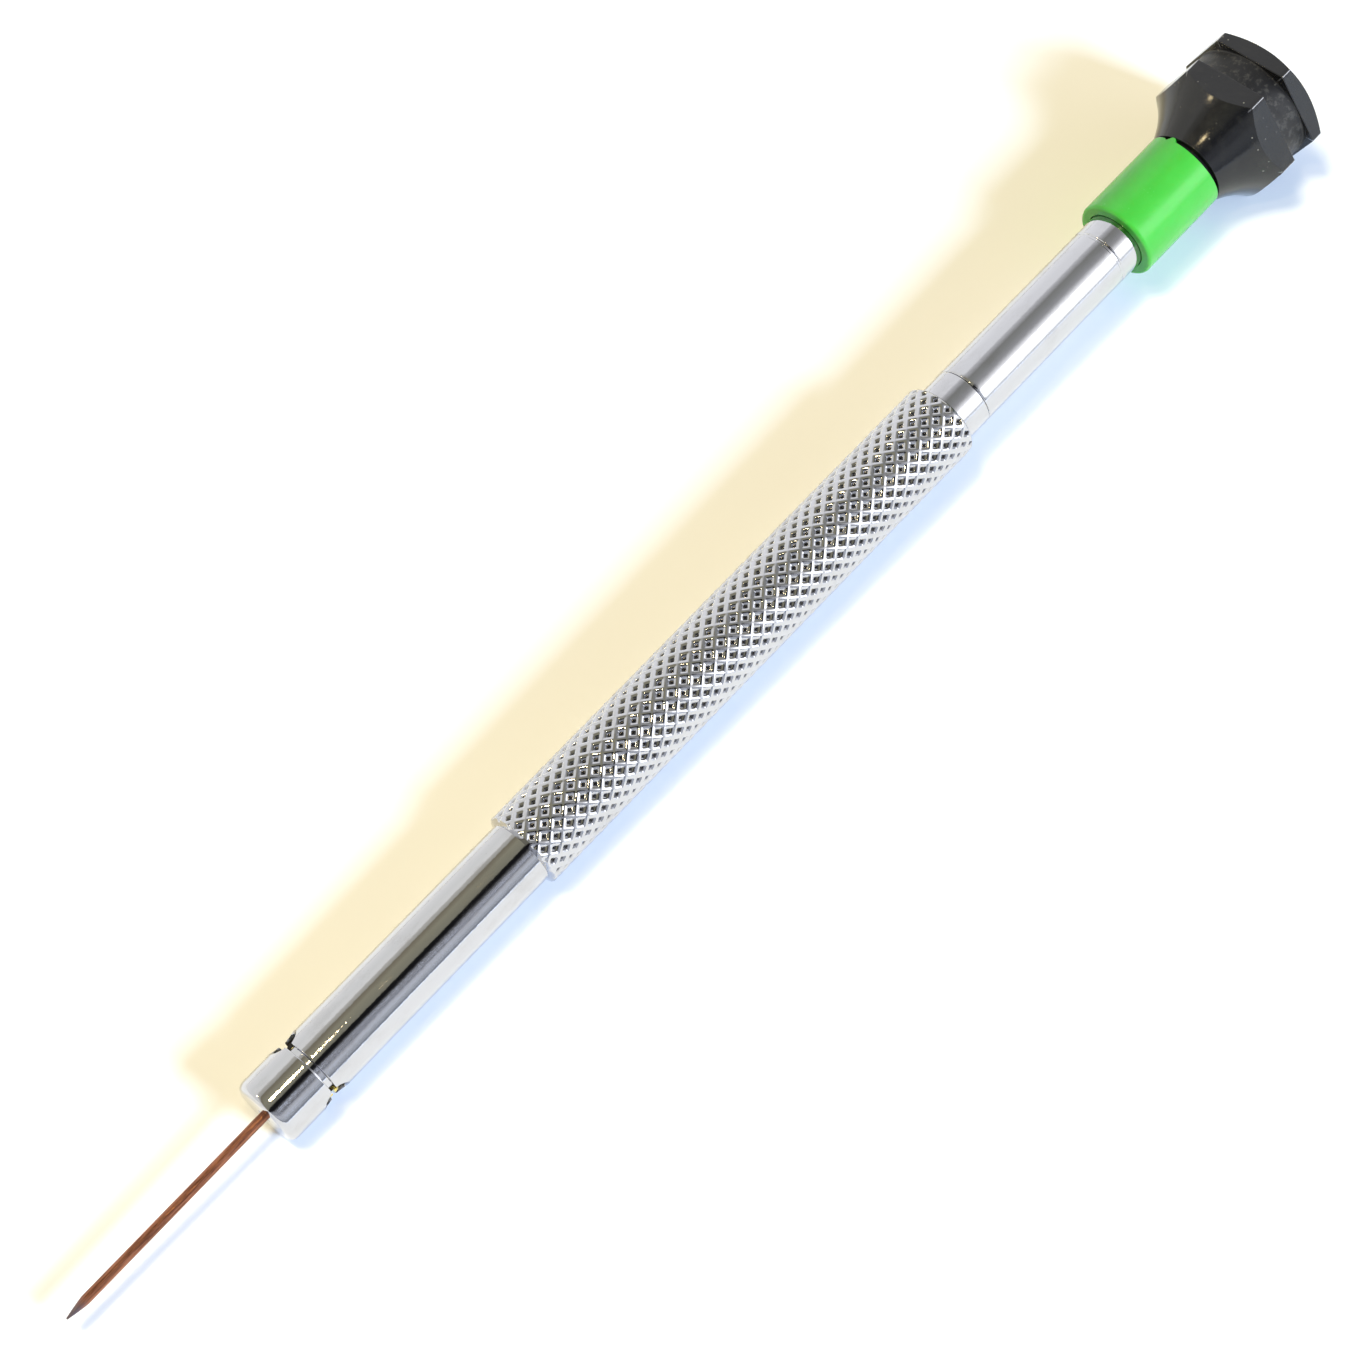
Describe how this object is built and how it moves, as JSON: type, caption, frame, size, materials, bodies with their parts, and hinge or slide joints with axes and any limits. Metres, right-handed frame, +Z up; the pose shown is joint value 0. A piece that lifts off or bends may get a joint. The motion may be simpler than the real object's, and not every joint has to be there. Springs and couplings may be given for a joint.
{
  "type": "watchmaker screwdriver",
  "caption": "Slim watchmaker's screwdriver: clamped round blade, knurled chrome handle, coloured size ring and a free-turning black hexagonal head on a ball race.",
  "frame": {"origin": "under the middle of the whole tool, on the surface that the head's lowest flat lies on", "axes": "+X along the tool's axis from the blade tip to the head, +Z up out of that surface, Y across"},
  "size_m": [0.107, 0.0102, 0.0089],
  "materials": {
    "chrome": "polished chrome plate",
    "blade_steel": "drawn lengthwise, tempered brown",
    "brass": "turned brass",
    "bearing_steel": "ground and lapped",
    "bronze": "sintered bronze, oiled",
    "spring_steel": "blued spring steel",
    "black_head": "glossy black, worn on the flats",
    "green_plastic": "moulded, softly glossy"
  },
  "bodies": {
    "handle": {"handle_body": "chrome", "spare_blade_1": "blade_steel", "spare_blade_2": "blade_steel"},
    "blade": {"blade": "blade_steel"},
    "clamp_screw_a": {"blade_screw_a": "brass"},
    "clamp_screw_b": {"blade_screw_b": "brass"},
    "rear_section": {"rear_spindle": "chrome", "bearing_pin": "bearing_steel", "race_washer_front": "bearing_steel"},
    "head": {"head_cap": "black_head", "colour_ring": "green_plastic", "bearing_bush": "bronze", "race_washer_rear": "bearing_steel", "snap_ring": "spring_steel"},
    "ball_race": {"ball_cage": "brass", "bearing_ball_1": "bearing_steel", "bearing_ball_2": "bearing_steel", "bearing_ball_3": "bearing_steel", "bearing_ball_4": "bearing_steel", "bearing_ball_5": "bearing_steel", "bearing_ball_6": "bearing_steel", "bearing_ball_7": "bearing_steel", "bearing_ball_8": "bearing_steel"}
  },
  "joints": [
    {"name": "blade_slide", "type": "slide", "parent": "handle", "child": "blade", "axis": [-1, 0, 0], "range_m": [0, 0.0101]},
    {"name": "clamp_screw_a_out", "type": "slide", "parent": "handle", "child": "clamp_screw_a", "axis": [0, 0.891, 0.454], "range_m": [0, 0.0008]},
    {"name": "clamp_screw_b_out", "type": "slide", "parent": "handle", "child": "clamp_screw_b", "axis": [0, -0.891, -0.454], "range_m": [0, 0.0008]},
    {"name": "rear_unscrew", "type": "slide", "parent": "handle", "child": "rear_section", "axis": [1, 0, 0], "range_m": [0, 0.0065]},
    {"name": "head_spin", "type": "hinge", "parent": "rear_section", "child": "head", "pos_m": [0.045, 0, 0.00445], "axis": [1, 0, 0], "continuous": true},
    {"name": "race_spin", "type": "hinge", "parent": "rear_section", "child": "ball_race", "pos_m": [0.0408, 0, 0.00445], "axis": [1, 0, 0], "continuous": true}
  ],
  "couplings": [
    {"joint": "race_spin", "follows": "head_spin", "ratio": 0.5}
  ]
}
